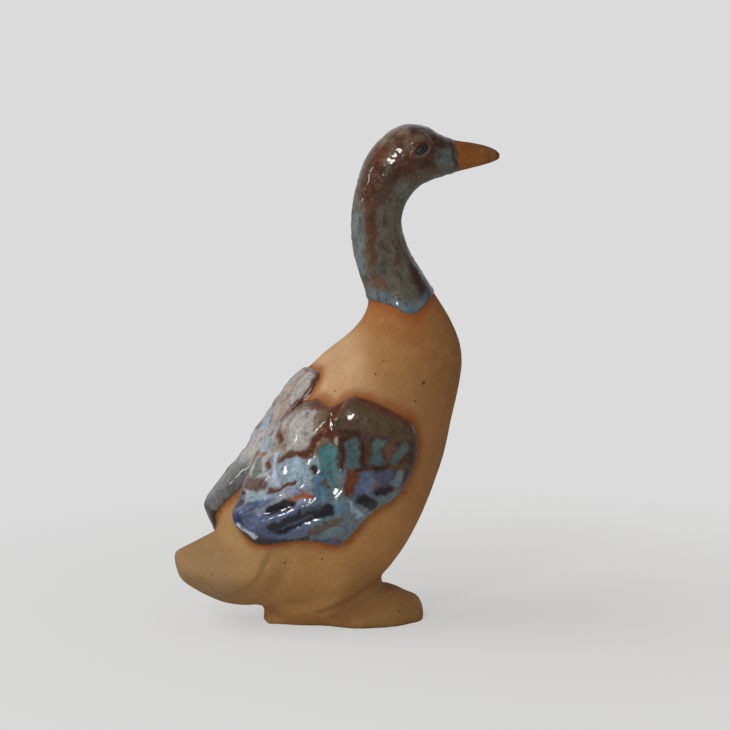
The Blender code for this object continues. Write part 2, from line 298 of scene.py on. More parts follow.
# Glazes by the colours they fire to, as photographed, from 0 to 255. The bluish white is a painted
# highlight, and the pale blue, pearl and lilac are partly painted reflection and highlight.
GLAZES = {
    "rust": (100, 52, 31),
    "flame": (160, 90, 58),
    "umber": (92, 64, 46),
    "bark": (60, 38, 25),
    "olive": (88, 70, 50),
    "sand": (138, 116, 92),
    "mauve": (104, 84, 76),
    "ash": (164, 159, 153),
    "blush": (160, 144, 132),
    "painted_highlight_white": (180, 192, 214),
    "sky_and_reflection": (144, 165, 178),
    "pearl_and_reflection": (160, 165, 168),
    "moss": (108, 112, 100),
    "drab": (88, 80, 69),
    "teal": (78, 122, 126),
    "fir": (74, 97, 98),
    "stone": (104, 104, 102),
    "steel": (98, 114, 120),
    "sea": (86, 120, 142),
    "dusk": (88, 101, 130),
    "lilac_and_highlight": (134, 142, 162),
    "violet": (74, 80, 110),
    "cobalt": (42, 52, 88),
    "slate": (62, 72, 84),
    "ink": (27, 30, 40),
    "soot": (42, 43, 46),
}

# The first coat: station, degrees, and the glaze round there on the right wing and on the left.
FIRST_COAT = (
    (7.6, -12, "blush", "blush"),
    (6.8, 8, "ash", "blush"),
    (7.0, 40, "sand", "sand"),
    (7.1, 75, "olive", "umber"),
    (6.6, 100, "olive", "rust"),
    (6.1, 44, "sand", "sand"),
    (6.1, 84, "bark", "bark"),
    (5.8, 104, "bark", "bark"),
    # The pale blue and pearl grounds here are partly painted reflection.
    (5.5, 8, "pearl_and_reflection", "ash"),
    (5.1, 50, "sky_and_reflection", "pearl_and_reflection"),
    (5.3, 74, "steel", "teal"),
    (5.1, 98, "steel", "dusk"),
    (4.9, 22, "blush", "pearl_and_reflection"),
    (4.3, 6, "mauve", "stone"),
    (4.3, 45, "pearl_and_reflection", "steel"),
    (4.4, 98, "steel", "steel"),
    (3.8, 58, "dusk", "dusk"),
    (3.7, 88, "steel", "dusk"),
    (3.4, 18, "soot", "stone"),
    (3.2, 50, "violet", "violet"),
    (2.5, 52, "soot", "ink"),
    (2.1, 22, "soot", "soot"),
)

# Brushed and modelled over it, in this order: station and degrees where each stroke starts and ends,
# width in millimetres, how far it stands out in percent, its glaze on the right wing and on the left.
# A few of them are painted highlights and reflections, noted where they stand.
STROKES = (
    (7.75, -12, 7.0, -17, 4.0, 70, "ash", "ash"),
    (7.85, 6, 6.9, 1, 5.0, 80, "ash", "blush"),
    (6.9, 82, 6.45, 98, 8.5, 45, "umber", "umber"),
    (7.0, 64, 6.75, 80, 10.5, 60, "olive", "umber"),
    (6.75, 80, 6.55, 92, 7.5, 55, "olive", "rust"),
    (6.7, 36, 6.0, 42, 5.6, 95, "ash", "ash"),
    (6.65, 26, 7.0, 40, 2.0, 20, "sand", "sand"),
    (6.8, 27, 7.05, 46, 1.5, 0, "umber", "umber"),
    # The pale blue and pearl strokes below are partly painted reflection.
    (6.05, 3, 5.45, 16, 4.2, 50, "sky_and_reflection", "sky_and_reflection"),
    (5.2, 20, 4.6, 30, 5.0, 30, "pearl_and_reflection", "blush"),
    (5.25, 44, 5.15, 57, 4.0, 25, "sky_and_reflection", "sky_and_reflection"),
    (6.15, 68, 6.1, 105, 5.4, -20, "bark", "bark"),
    (5.9, 61, 5.15, 68, 3.2, 20, "teal", "sea"),
    (5.1, 66, 4.6, 73, 3.0, -10, "sea", "teal"),
    (4.7, 82, 3.65, 92, 5.4, 35, "steel", "sea"),
    (3.4, 83, 3.55, 90, 1.8, 20, "violet", "dusk"),
    (3.45, 34, 4.3, 45, 2.4, 75, "dusk", "steel"),
    (4.2, 76, 4.5, 82, 1.6, 40, "sea", "dusk"),
    # A pale ridge, partly painted highlight along its crest.
    (3.65, 46, 4.45, 62, 1.9, 30, "lilac_and_highlight", "lilac_and_highlight"),
    (3.2, 44, 3.75, 52, 2.8, 40, "dusk", "violet"),
    (3.15, 64, 3.6, 74, 1.5, 25, "dusk", "violet"),
    (3.6, 75, 4.1, 83, 1.4, 30, "drab", "steel"),
    # Two pale ridges, partly painted highlight along their crests.
    (4.0, 34, 4.35, 44, 1.9, 60, "sky_and_reflection", "pearl_and_reflection"),
    (4.35, 44, 4.8, 58, 2.0, 60, "lilac_and_highlight", "sky_and_reflection"),
    (3.35, 26, 3.1, 37, 2.8, 30, "cobalt", "cobalt"),
    # A painted highlight along the tip of the wing.
    (3.0, 39, 2.7, 49, 1.3, 70, "painted_highlight_white", "lilac_and_highlight"),
    (3.7, 20, 3.7, 29, 2.4, 0, "soot", "soot"),
    (2.6, 54, 3.4, 76, 1.3, -30, "soot", "soot"),
    (4.7, 86, 4.3, 94, 0.8, 30, "sky_and_reflection", "steel"),
    (4.3, 94, 3.85, 92, 0.9, 30, "steel", "pearl_and_reflection"),
    (6.1, 74, 5.6, 78, 3.4, 60, "fir", "sea"),
    (6.3, 87, 5.75, 90, 2.0, -40, "fir", "teal"),
    (6.25, 101, 5.95, 100, 2.0, -40, "fir", "dusk"),
    (5.4, 88, 5.0, 90, 2.8, -15, "dusk", "sea"),
    (5.6, 97, 5.25, 99, 2.4, -25, "violet", "dusk"),
    (5.65, 106, 5.4, 105, 2.0, -10, "steel", "violet"),
    (7.15, 56, 6.5, 56, 1.5, -60, "rust", "rust"),
    (6.5, 56, 6.1, 52, 1.5, -60, "rust", "umber"),
    (6.3, 58, 6.15, 63, 1.8, -30, "rust", "rust"),
    (6.1, 52, 5.75, 52, 1.6, -50, "rust", "rust"),
    (5.75, 52, 5.55, 42, 1.5, -50, "rust", "bark"),
    (5.55, 42, 5.35, 38, 1.2, -30, "umber", "rust"),
    (6.15, 19, 5.8, 28, 1.0, -50, "rust", "rust"),
    (5.95, 10, 5.85, 13, 1.0, -30, "umber", "umber"),
    (5.25, 9, 4.5, 16, 1.0, -50, "rust", "umber"),
    (5.25, 11, 5.35, 22, 0.9, -40, "flame", "rust"),
    (5.1, 19, 4.8, 26, 1.9, -40, "moss", "teal"),
    (5.15, 29, 5.05, 31, 1.0, -30, "rust", "umber"),
    # A painted highlight: a white bar along a raised feather.
    (5.4, 32, 4.75, 42, 1.1, 50, "painted_highlight_white", "painted_highlight_white"),
    (4.4, 21, 4.5, 33, 3.0, 10, "mauve", "drab"),
    (4.4, 18, 4.05, 27, 0.9, -40, "bark", "ink"),
    (5.4, 57, 5.3, 59, 1.0, -40, "bark", "rust"),
    (4.4, 41, 4.6, 46, 1.0, -50, "umber", "rust"),
    (4.6, 46, 4.85, 51, 1.0, -50, "rust", "umber"),
    (4.4, 56, 4.6, 59, 1.0, -20, "flame", "rust"),
    (4.6, 59, 4.6, 65, 1.0, -20, "flame", "flame"),
    (5.05, 69, 5.0, 71, 1.1, -30, "drab", "bark"),
    # A painted highlight: a small pale patch on the shoulder.
    (6.15, 63, 6.2, 65, 1.2, 40, "blush", "ash"),
    (6.25, 66, 5.55, 72, 1.3, -60, "bark", "bark"),
    (6.4, 79, 5.65, 85, 1.1, -50, "bark", "rust"),
    (6.45, 92, 5.9, 96, 1.2, -40, "umber", "bark"),
    (5.4, 79, 5.6, 85, 1.1, -60, "bark", "umber"),
    (5.6, 85, 5.75, 99, 1.0, -50, "bark", "rust"),
    (5.75, 99, 5.8, 108, 1.0, -30, "umber", "bark"),
    (5.4, 80, 4.95, 83, 1.9, 15, "rust", "rust"),
    (4.85, 92, 4.75, 97, 2.0, -50, "soot", "soot"),
    (5.1, 97, 5.15, 104, 1.7, -45, "ink", "soot"),
    (3.8, 49, 4.25, 57, 2.2, -30, "ink", "ink"),
    (3.35, 58, 3.95, 67, 3.0, -30, "ink", "ink"),
    (3.95, 67, 4.35, 77, 2.6, -30, "ink", "soot"),
    (3.45, 60, 4.05, 71, 0.7, 5, "slate", "dusk"),
    (4.1, 66, 4.45, 73, 0.9, 5, "slate", "slate"),
)
BRUSH_SOFTNESS = 0.2
RELIEF_DEPTH = 0.30
STROKE_FLATTENS = 0.7
STROKE_ROUNDNESS = 0.7
STROKE_EDGE = 0.28
COAT_SPREAD = 0.8

# The part of the skin where a wing can be: up to this station, and this far off the slices in
# millimetres. Beyond it every place counts as far outside.
WING_END = 8.8
WING_LIFT = (-1.5, 9)
FAR_OUTSIDE = -20.0


def paint(name):
    """The glaze's colour as a shader wants it, for a name or for three values from 0 to 255."""
    made = []
    for part in GLAZES.get(name, name):
        share = part / 255
        made.append(share / 12.92 if share <= 0.04045 else ((share + 0.055) / 1.055) ** 2.4)
    return (*made, 1.0)


def mixed_by(weights, names):
    """The glazes' colours mixed at each place by their weights."""
    colours = np.array([paint(name) for name in names])
    return weights.T @ colours / weights.sum(0)[:, None]


def smooth_outline(corners, steps=6):
    """A closed smooth line through the corners, in millimetres on the unrolled skin."""
    corners = np.array(corners) * (STATION_REACH, DEGREE_REACH)
    before, after, later = (np.roll(corners, shift, axis=0) for shift in (1, -1, -2))
    made = []
    for step in range(steps):
        t = step / steps
        made.append(
            0.5
            * (
                2 * corners
                + (after - before) * t
                + (2 * before - 5 * corners + 4 * after - later) * t**2
                + (3 * corners - before - 3 * after + later) * t**3
            )
        )
    return np.stack(made, axis=1).reshape(-1, 2)


def depth_inside(outline, unrolled):
    """Millimetres from each unrolled place to the outline, more than nothing inside it."""
    start = outline
    run = np.roll(outline, -1, axis=0) - start
    found = []
    for some in np.array_split(unrolled, len(unrolled) // POINTS_AT_ONCE + 1):
        away = some[:, None] - start[None]
        share = np.clip((away * run).sum(-1) / (run**2).sum(-1), 0, 1)
        distance = np.linalg.norm(away - share[..., None] * run, axis=-1).min(1)
        rises = (start[:, 1] > some[:, None, 1]) != ((start + run)[:, 1] > some[:, None, 1])
        with np.errstate(divide="ignore", invalid="ignore"):
            crossing = start[:, 0] + (some[:, None, 1] - start[:, 1]) / run[:, 1] * run[:, 0]
        inside = (rises & (some[:, None, 0] < crossing)).sum(1) % 2 == 1
        found.append(np.where(inside, distance, -distance))
    return np.concatenate(found)


def first_coat(unrolled, names):
    """The colour of the first coat, each glaze strongest round its own place."""
    weights = []
    for station_there, degrees_there, *_ in FIRST_COAT:
        away = unrolled - (station_there * STATION_REACH, degrees_there * DEGREE_REACH)
        weights.append(1 / (COAT_SPREAD + (away**2).sum(1)) ** 3)
    return mixed_by(np.array(weights), names)


def lay_strokes(places, strokes, softness, colour, height):
    """Brushes each stroke in turn over the colour and the height. Gives back how near a stroke's edge
    each place is, from 0 to 1."""
    edge = np.zeros(len(places))
    for start, start_across, end, end_across, width, rise, name in strokes:
        first = np.array((start, start_across))
        run = np.array((end, end_across)) - first
        share = np.clip((places - first) @ run / (run @ run + 1e-6), 0, 1)
        away = np.linalg.norm(places - first - share[:, None] * run, axis=1)
        soft = softness * (1 + width / 3)
        cover = 1 - ease(width / 2 - soft, width / 2 + soft, away)
        colour += (np.array(paint(name)) - colour) * cover[:, None]
        height *= 1 - STROKE_FLATTENS * cover
        height += rise / 100 * np.clip(1 - (away / (width / 2 + soft)) ** 2, 0, 1) ** STROKE_ROUNDNESS
        edge = np.maximum(edge * (1 - cover), ridge(away, width / 2, STROKE_EDGE))
    return edge


class WingPlaces:
    """Where the points of the skin lie on one wing. side is -1 for the right and 1 for the left."""

    def __init__(self, points, station, degrees, lift, side):
        signed = np.where(points[:, 1] * side > 0, degrees, -degrees)
        self.unrolled = np.stack((station * STATION_REACH, signed * DEGREE_REACH), axis=1)
        outline = smooth_outline(RIGHT_WING if side < 0 else LEFT_WING)
        self.inside = np.full(len(points), FAR_OUTSIDE)
        near = (station < WING_END) & (lift > WING_LIFT[0]) & (lift < WING_LIFT[1])
        self.inside[near] = depth_inside(outline, self.unrolled[near])
        column = -2 if side < 0 else -1
        self.first_glazes = [row[column] for row in FIRST_COAT]
        self.strokes = [
            (
                row[0] * STATION_REACH,
                row[1] * DEGREE_REACH,
                row[2] * STATION_REACH,
                row[3] * DEGREE_REACH,
                row[4],
                row[5],
                row[column],
            )
            for row in STROKES
        ]


# The skin gets smaller faces on the wings, head and neck, a little past their edges.
WING_MARGIN = 0.8
skin_mesh = clay_lump()
bm = bmesh.new()
bm.from_mesh(skin_mesh)
points = points_of(bm)
station, degrees, lift = places_on_skin(points)
on_wings = np.zeros(len(points), bool)
for side in (-1, 1):
    on_wings |= WingPlaces(points, station, degrees, lift, side).inside > -WING_MARGIN
on_head = station > NECK_STATION - 0.4
subdivide_where(bm, on_wings | on_head)
points = points_of(bm)
station, degrees, lift = places_on_skin(points)


# Eyes
# A bead of clay pressed into each side of the head inside a raised lid, slanted down towards the bill.
EYE_LENGTH = 2.7
EYE_HEIGHT = 1.5
EYE_PLACE = np.array((14.9, 6.0, 95.6))
EYE_SLANT = math.radians(34)
EYE_REGION = 2.8
EYE_SMOOTH_REGION = 2.6
EYE_SMOOTHING = 7


def eye_places(points):
    """Forward and upward from the nearer eye, where 1 is the edge of its bead."""
    away = points * (1, 0, 1) + np.abs(points * (0, 1, 0)) - EYE_PLACE
    forward = away[:, 0] * math.cos(EYE_SLANT) + away[:, 2] * math.sin(EYE_SLANT)
    upward = -away[:, 0] * math.sin(EYE_SLANT) + away[:, 2] * math.cos(EYE_SLANT)
    return forward / (EYE_LENGTH / 2), upward / (EYE_HEIGHT / 2)


def eye_reach(points):
    """How far out from the middle of the bead, where 1 is its edge."""
    return np.hypot(*eye_places(points))


subdivide_where(bm, eye_reach(points) < EYE_REGION)
points = points_of(bm)
smooth_skin(bm, eye_reach(points) < EYE_SMOOTH_REGION, EYE_SMOOTHING)
points = points_of(bm)
station, degrees, lift = places_on_skin(points)
eye = eye_reach(points)

# The bead, then round it the groove, the lids and the fold behind them: rise in millimetres, and how
# far out and how wide, where 1 is the edge of the bead.
BEAD_RISE = 0.30
EYE_FOLDS = ((-0.18, 1.12, 0.18), (0.15, 1.6, 0.28), (-0.08, 2.2, 0.25))
relief = BEAD_RISE * np.sqrt(np.clip(1 - eye**2, 0, 1))
for rise, out, width in EYE_FOLDS:
    relief += rise * ridge(eye, out, width)

# The full cheek, the hollow before the eye and the brow: x, z, size and rise in millimetres.
HEAD_FORMS = ((10.8, 92.2, 2.4, 0.15), (18.6, 95.0, 1.8, -0.25), (14.6, 98.3, 1.8, 0.15))
CROWN_HALF_WIDTH = 1.5
for x, z, size, rise in HEAD_FORMS:
    reach = np.hypot(points[:, 0] - x, points[:, 2] - z)
    relief += rise * ridge(reach, 0, size) * (np.abs(points[:, 1]) > CROWN_HALF_WIDTH)


# Feathers
# Each stroke's own relief and glaze, over the broad lobes that the solid already has. The strokes are
# laid by hand, so they stray: size of the bends, seed and reach in millimetres.
STRAYING = ((2.4, 1, 0.65), (0.9, 3, 0.38))
UNEVENNESS = 0.22

# How far past each wing's edge its glaze is laid and the skin is evened out, in millimetres, and the
# stations from which brown gathers along the strokes' edges.
RIGHT_MARGIN = 0.3
LEFT_MARGIN = 1.0
SMOOTH_MARGIN = 0.6
EDGE_STAIN = 0.65
STAIN_STATIONS = (4.6, 5.3)

wander = np.zeros((len(points), 2))
for size, seed, reach in STRAYING:
    wander += np.stack((drift(points, size, seed), drift(points, size, seed + 1)), axis=1) * reach
right_wing = WingPlaces(points, station, degrees, lift, -1)
left_wing = WingPlaces(points, station, degrees, lift, 1)
wing_inside = np.maximum(right_wing.inside, left_wing.inside)
smooth_skin(bm, wing_inside > -SMOOTH_MARGIN, 1)
use_right = right_wing.inside > -RIGHT_MARGIN
height = np.zeros(len(points))
glaze_colour_and_painted_light = np.tile(paint("drab"), (len(points), 1))
use_left = ~use_right & (left_wing.inside > -LEFT_MARGIN)
# The glaze colours laid here include the painted highlights and reflections among the strokes.
for wing, chosen in ((left_wing, use_left), (right_wing, use_right)):
    laid = wing.unrolled[chosen] + wander[chosen]
    coat = first_coat(laid, wing.first_glazes)
    raised = np.zeros(len(laid))
    edge = lay_strokes(laid, wing.strokes, BRUSH_SOFTNESS, coat, raised)
    patches = ease(-0.25, 0.2, drift(points[chosen], 1.7, 16))
    edge *= EDGE_STAIN * ease(*STAIN_STATIONS, station[chosen]) * patches
    coat += (np.array(paint("umber")) - coat) * edge[:, None]
    glaze_colour_and_painted_light[chosen] = coat
    height[chosen] = raised
relief += ease(0.2, 1.3, wing_inside) * RELIEF_DEPTH * (height + UNEVENNESS * drift(points, 1.7, 9))


# Glaze
# Poured and brushed on the wings and over the head and neck, down to a wavy collar. It lies thick and
# runs down, so each edge is a rounded step, and it stops short of the bill.
GLAZE_THICKNESS = 0.28
GLAZE_LIP = 0.10
COLLAR_HEIGHT = 65.2
COLLAR_DIP = 2.2
COLLAR_DIP_X = 12.2
COLLAR_DIP_WIDTH = 3.4
COLLAR_BREAST_RISE = 1.4
COLLAR_SLOPE = 0.93
BILL_EDGE_X = 23.0
BILL_EDGE_Z = 93.0
BILL_EDGE_LEAN = 0.0625


def head_glaze_depth(points):
    """Millimetres inside the edge of the glaze on head and neck, less than nothing outside it."""
    x, z = points[:, 0], points[:, 2]
    collar = COLLAR_HEIGHT - COLLAR_DIP * ridge(x, COLLAR_DIP_X, COLLAR_DIP_WIDTH)
    collar += COLLAR_BREAST_RISE * ease(14.5, 18.5, x)
    short_of_bill = BILL_EDGE_X - BILL_EDGE_LEAN * (z - BILL_EDGE_Z) - x
    return np.minimum((z - collar) * COLLAR_SLOPE, short_of_bill)


# Its edge wavers, most on the face, where it also thins out towards the bill. Places are along x.
EDGE_WAVER = 0.22
FACE_WAVER = 0.8
FINE_WAVER = 0.16
FACE_X = 18
FACE_END_X = 21
FACE_THINNING = 0.75

glaze = np.maximum(wing_inside, head_glaze_depth(points))
glaze += (EDGE_WAVER + FACE_WAVER * (points[:, 0] > FACE_X)) * drift(points, 2.2, 5)
glaze += FINE_WAVER * drift(points, 0.9, 6)
thickness = 1 - FACE_THINNING * ease(FACE_X, FACE_END_X, points[:, 0])
relief += thickness * GLAZE_THICKNESS * (ease(-0.15, 0.45, glaze) - 0.5)
relief += thickness * GLAZE_LIP * ridge(glaze, 0.55, 0.35)

# It fires pebbled, and more so on head and neck than on the wings and close round them.
WING_PEBBLES = 0.5
NECK_PEBBLES = 1.6
WING_SURROUND = 3
on_wing = wing_inside > -WING_SURROUND
pebbles = 0.05 * drift(points, 1.4, 17) + 0.04 * drift(points, 0.75, 18)
relief += ease(0.2, 1.0, glaze) * np.where(on_wing, WING_PEBBLES, NECK_PEBBLES) * pebbles


# Hand marks
# Dents and flats left by fingers and the smoothing tool, the mouth cut into the bill, and the creases
# where the tail and the foot were pressed on.
DENTS = 0.10
TOOL_MARKS = 0.035
relief += DENTS * drift(points, 7, 7) + TOOL_MARKS * drift(points, 2.4, 8)

MOUTH_DEGREES = 96
MOUTH_DEPTH = 0.16
MOUTH_WIDTH = 0.35
from_mouth = (degrees - MOUTH_DEGREES) * 0.05 - 0.25 * np.sin(station * 1.7)
on_bill = ease(BILL_STATION - 0.9, BILL_STATION - 0.4, station)
relief -= MOUTH_DEPTH * ridge(from_mouth, 0, MOUTH_WIDTH) * on_bill

# The edge of the tail, pressed up from the flank: height and place along the duck of its crease.
CREASE_HEIGHTS = (7.1, 9.1, 12.5, 17.9)
CREASE_PLACES = (-25.1, -23.3, -20.1, -17.3)
CREASE_STEP = 0.55
CREASE_FADE = 5.0
CREASE_DEPTH = 0.16
behind = np.interp(points[:, 2], CREASE_HEIGHTS, CREASE_PLACES) - points[:, 0] + 0.4 * drift(points, 3, 14)
along_crease = ease(6.5, 9, points[:, 2]) * (1 - ease(16, 20, points[:, 2]))
fading = np.exp(-np.clip(behind, 0, 20) / CREASE_FADE)
relief += along_crease * CREASE_STEP * ease(-0.4, 0.6, behind) * fading
relief -= along_crease * CREASE_DEPTH * ridge(behind, -0.4, 0.8)

# The crease between the belly and the foot, by places along the duck, and the fold over it.
FOOT_CREASE_PLACES = (-6.5, -3.0, 0.6, 4.9)
FOOT_CREASE_HEIGHTS = (3.0, 4.3, 6.1, 8.5)
FOOT_CREASE_DEPTH = 0.40
FOOT_FOLD_RISE = 0.20
above_foot = points[:, 2] - np.interp(points[:, 0], FOOT_CREASE_PLACES, FOOT_CREASE_HEIGHTS)
beside_foot = ease(-9, -6, points[:, 0]) * (1 - ease(5.5, 7, points[:, 0])) * (np.abs(points[:, 1]) > 2)
relief -= beside_foot * FOOT_CREASE_DEPTH * ridge(above_foot, -0.2, 0.8)
relief += beside_foot * FOOT_FOLD_RISE * ridge(above_foot, 1.8, 1.2)

# The skin moves out and in by its relief. The underside stays flat on the table.
UNDERSIDE_HEIGHT = 0.4 * MM
bm.normal_update()
for vert, rise in zip(bm.verts, relief):
    under_foot = vert.normal.z < -0.8 and vert.co.z < UNDERSIDE_HEIGHT
    vert.co += vert.normal * (rise * MM)
    vert.co.z = 0.0 if under_foot else max(vert.co.z, 0.0)
duck_mesh = bpy.data.meshes.new("stoneware_duck")
bm.to_mesh(duck_mesh)
bm.free()
duck_mesh.shade_smooth()
duck = bpy.data.objects.new("stoneware_duck", duck_mesh)
bpy.context.scene.collection.objects.link(duck)


# Glaze colours
# The glaze brushed on head and neck, round the eyes and along the wings' upper edge, and a painted
# reflection down the back of the neck. For each stroke: x and z in millimetres where it starts and ends,
# its width and its glaze.
HEAD_STROKES = (
    (9.5, 95.5, 15.0, 95.5, 12.0, (78, 50, 32)),
    (9.0, 92.5, 6.0, 88.5, 7.0, (78, 60, 42)),
    # Painted reflection: a pale streak down the back edge of the neck.
    (2.2, 82.0, 3.4, 71.0, 2.0, (108, 118, 120)),
    (4.9, 85.0, 4.8, 79.3, 2.2, (84, 53, 34)),
    (4.8, 79.3, 4.8, 73.5, 1.7, (92, 62, 44)),
    (7.0, 73.0, 7.2, 71.5, 1.6, (74, 84, 70)),
    (6.4, 69.5, 6.9, 67.8, 2.2, (98, 70, 54)),
    (14.0, 71.5, 16.0, 66.5, 3.2, (54, 41, 31)),
    (11.4, 88.6, 9.6, 84.5, 3.2, (98, 98, 88)),
    (6.4, 93.0, 4.2, 87.0, 2.8, (78, 44, 29)),
    (8.4, 96.6, 9.0, 94.0, 2.6, (108, 92, 68)),
    (7.2, 95.4, 7.0, 94.0, 1.8, "rust"),
    (10.6, 93.6, 11.4, 92.2, 3.6, (82, 48, 34)),
    (9.6, 91.6, 9.4, 90.6, 1.8, (56, 36, 27)),
    (8.8, 99.0, 12.4, 99.6, 1.8, (118, 100, 84)),
    (14.0, 99.6, 19.4, 97.4, 2.0, (62, 40, 30)),
    (12.4, 97.4, 16.2, 98.2, 1.6, (108, 88, 66)),
    (13.4, 90.6, 18.4, 91.2, 2.0, (92, 78, 60)),
    (19.6, 94.0, 21.8, 93.8, 3.8, (96, 106, 102)),
    (21.6, 97.0, 22.8, 91.6, 1.0, (60, 44, 37)),
    (19.2, 96.6, 19.4, 96.4, 1.1, (46, 44, 42)),
    (15.8, 93.0, 15.9, 92.8, 1.0, (42, 30, 25)),
)
HEAD_COAT = (98, 92, 80)
HEAD_SOFTNESS = 2.2 * BRUSH_SOFTNESS
beside = points[:, [0, 2]] + wander * 0.8
head_colour = np.tile(paint(HEAD_COAT), (len(points), 1))
flat_strokes = [(*ends_and_width, 0, name) for *ends_and_width, name in HEAD_STROKES]
lay_strokes(beside, flat_strokes, HEAD_SOFTNESS, head_colour, np.zeros(len(points)))

# It runs down and pools blue in a band along the collar.
COLLAR_BLUE = (94, 112, 121)
COLLAR_BAND_TOP = 75
collar_depth = head_glaze_depth(points) + 0.6 * drift(points, 2.5, 13)
low_collar = (1 - ease(1.2, 3.0, collar_depth)) * (points[:, 2] < COLLAR_BAND_TOP)
head_colour += (np.array(paint(COLLAR_BLUE)) - head_colour) * low_collar[:, None]

# The eye from the outside in: a rusty ring, a pale lower lid, a brown line and a dark bead. How far out
# each reaches and how soft its edge is, where 1 is the edge of the bead; its colour; 1 if only below.
_, up_eye = eye_places(points)
EYE_RINGS = (
    (1.95, 0.30, (90, 54, 39), 0.0),
    (1.50, 0.25, (112, 102, 86), 1.0),
    (1.18, 0.10, (52, 36, 29), 0.0),
    (0.98, 0.08, (34, 38, 41), 0.0),
)
for limit, soft, ring_colour, lower_only in EYE_RINGS:
    cover = 1 - ease(limit - soft, limit + soft, eye)
    cover *= 1 - lower_only * ease(-0.3, 0.5, up_eye)
    head_colour += (np.array(paint(ring_colour)) - head_colour) * cover[:, None]
glaze_colour_and_painted_light[~on_wing] = head_colour[~on_wing]

# The thin glaze along the edge of each wing's shoulder, by stations.
RIM_BROWN = (96, 52, 34)
SHOULDER_STATIONS = (5.9, 6.7)
rim_depth = wing_inside + 0.5 * drift(points, 1.8, 15)
rim = (1 - ease(0.8, 1.7, rim_depth)) * ease(*SHOULDER_STATIONS, station) * on_wing
glaze_colour_and_painted_light += (np.array(paint(RIM_BROWN)) - glaze_colour_and_painted_light) * rim[:, None]


# Clay colours
# How the bare clay looks, darker on the breast and paler on the back: partly its fired tones, and partly
# painted shade on the breast, which faces away from the light, and on the leg under the belly. x and z in
# millimetres, and its colour round there.
CLAY_TONES_AND_SHADE = (
    (-1.3, 55, (191, 154, 114)),
    (6.5, 55, (157, 115, 65)),
    (19.3, 55, (146, 100, 56)),
    (8.7, 61, (148, 91, 42)),
    (15.7, 31, (160, 110, 62)),
    (5.5, 17, (173, 124, 71)),
    (-11.5, 10, (173, 128, 74)),
    (-5.5, 7, (190, 142, 86)),
    (-30, 13, (142, 112, 75)),
    (-20, 18, (156, 120, 76)),
    (6.4, 3, (148, 109, 62)),
    (-1, 4, (134, 93, 53)),
    (25.0, 97.0, (112, 62, 24)),
    (30.5, 95.3, (108, 60, 24)),
    (27.0, 92.3, (146, 92, 38)),
)
TONE_SPREAD = 9
weights = []
for x, z, _ in CLAY_TONES_AND_SHADE:
    weights.append(1 / (TONE_SPREAD + (points[:, 0] - x) ** 2 + (points[:, 2] - z) ** 2) ** 2)
clay_tone_and_shade = mixed_by(np.array(weights), [tone for _, _, tone in CLAY_TONES_AND_SHADE])

# Along and round the duck, drawn out along it, for the streaks in the glaze.
STREAK_RADIUS = 5.0
STREAK_STEP = 2.0
turn = np.radians(degrees)
across = STREAK_RADIUS * np.sin(turn) * np.sign(points[:, 1])
flow = np.stack((STREAK_RADIUS * np.cos(turn), across, STREAK_STEP * station), axis=1)
for name, kind, field, values in (
    ("glaze", "FLOAT", "value", glaze),
    ("on_wing", "FLOAT", "value", on_wing),
    ("glaze_colour_and_painted_light", "FLOAT_COLOR", "color", glaze_colour_and_painted_light),
    ("clay_tone_and_shade", "FLOAT_COLOR", "color", clay_tone_and_shade),
    ("flow", "FLOAT_VECTOR", "vector", flow * MM),
):
    attribute = duck_mesh.attributes.new(name, kind, "POINT")
    attribute.data.foreach_set(field, values.astype(np.float32).ravel())


# Firing
# Bare clay fires to a matt tan with iron specks and flashes orange beside the glaze. The glaze breaks
# to brown on thin edges and where it is worn, and its pools are cloudy and dotted with iron.
SHADED_TAN = (150, 108, 66)
PALE_TAN = (192, 154, 108)
FLASH_ORANGE = (144, 80, 35)
IRON_BROWN = (62, 38, 25)
STREAK_RUST = (80, 48, 27)
STREAK_GREEN = (100, 102, 84)
WORN_BROWN = (76, 49, 36)
THIN_BROWN = (70, 48, 38)
IRON_DOT = (40, 28, 22)


def add_node(tree, kind, inputs=None, **settings):
    """A node with its settings. Each input is a value, or a socket to link it from."""
    made = tree.nodes.new(kind)
    for name, value in settings.items():
        setattr(made, name, value)
    for key, value in (inputs or {}).items():
        if isinstance(value, bpy.types.NodeSocket):
            tree.links.new(value, made.inputs[key])
        else:
            made.inputs[key].default_value = value
    return made


def attribute_value(tree, name, output="Fac"):
    """What the mesh carries under this name."""
    return add_node(tree, "ShaderNodeAttribute", attribute_name=name).outputs[output]


def sums(tree, operation, first, second, third=0.0):
    """Arithmetic on two or three values."""
    return add_node(tree, "ShaderNodeMath", {0: first, 1: second, 2: third}, operation=operation).outputs[0]


def between(tree, value, low, high, start=0.0, end=1.0):
    """value as a share from low to high, with an easy curve."""
    inputs = {"Value": value, "From Min": low, "From Max": high, "To Min": start, "To Max": end}
    return add_node(tree, "ShaderNodeMapRange", inputs, interpolation_type="SMOOTHSTEP").outputs["Result"]


def blend(tree, share, first, second, how="MIX"):
    """The first colour with a share of the second laid over it."""
    inputs = {0: share, 6: first, 7: second}
    return add_node(tree, "ShaderNodeMix", inputs, data_type="RGBA", blend_type=how).outputs[2]


def clouds(tree, place, size, detail=3.0, roughness=0.55, distortion=0.0):
    """Noise whose lumps are about size millimetres."""
    inputs = {"Vector": place, "Scale": 1 / (size * MM), "Detail": detail}
    inputs.update({"Roughness": roughness, "Distortion": distortion})
    return add_node(tree, "ShaderNodeTexNoise", inputs).outputs["Fac"]


def toned(tree, colour, tone):
    """The colour made darker or paler by tone, where 1 leaves it as it is."""
    grey = add_node(tree, "ShaderNodeCombineColor", {0: tone, 1: tone, 2: tone}).outputs["Color"]
    return blend(tree, 1.0, colour, grey, "MULTIPLY")


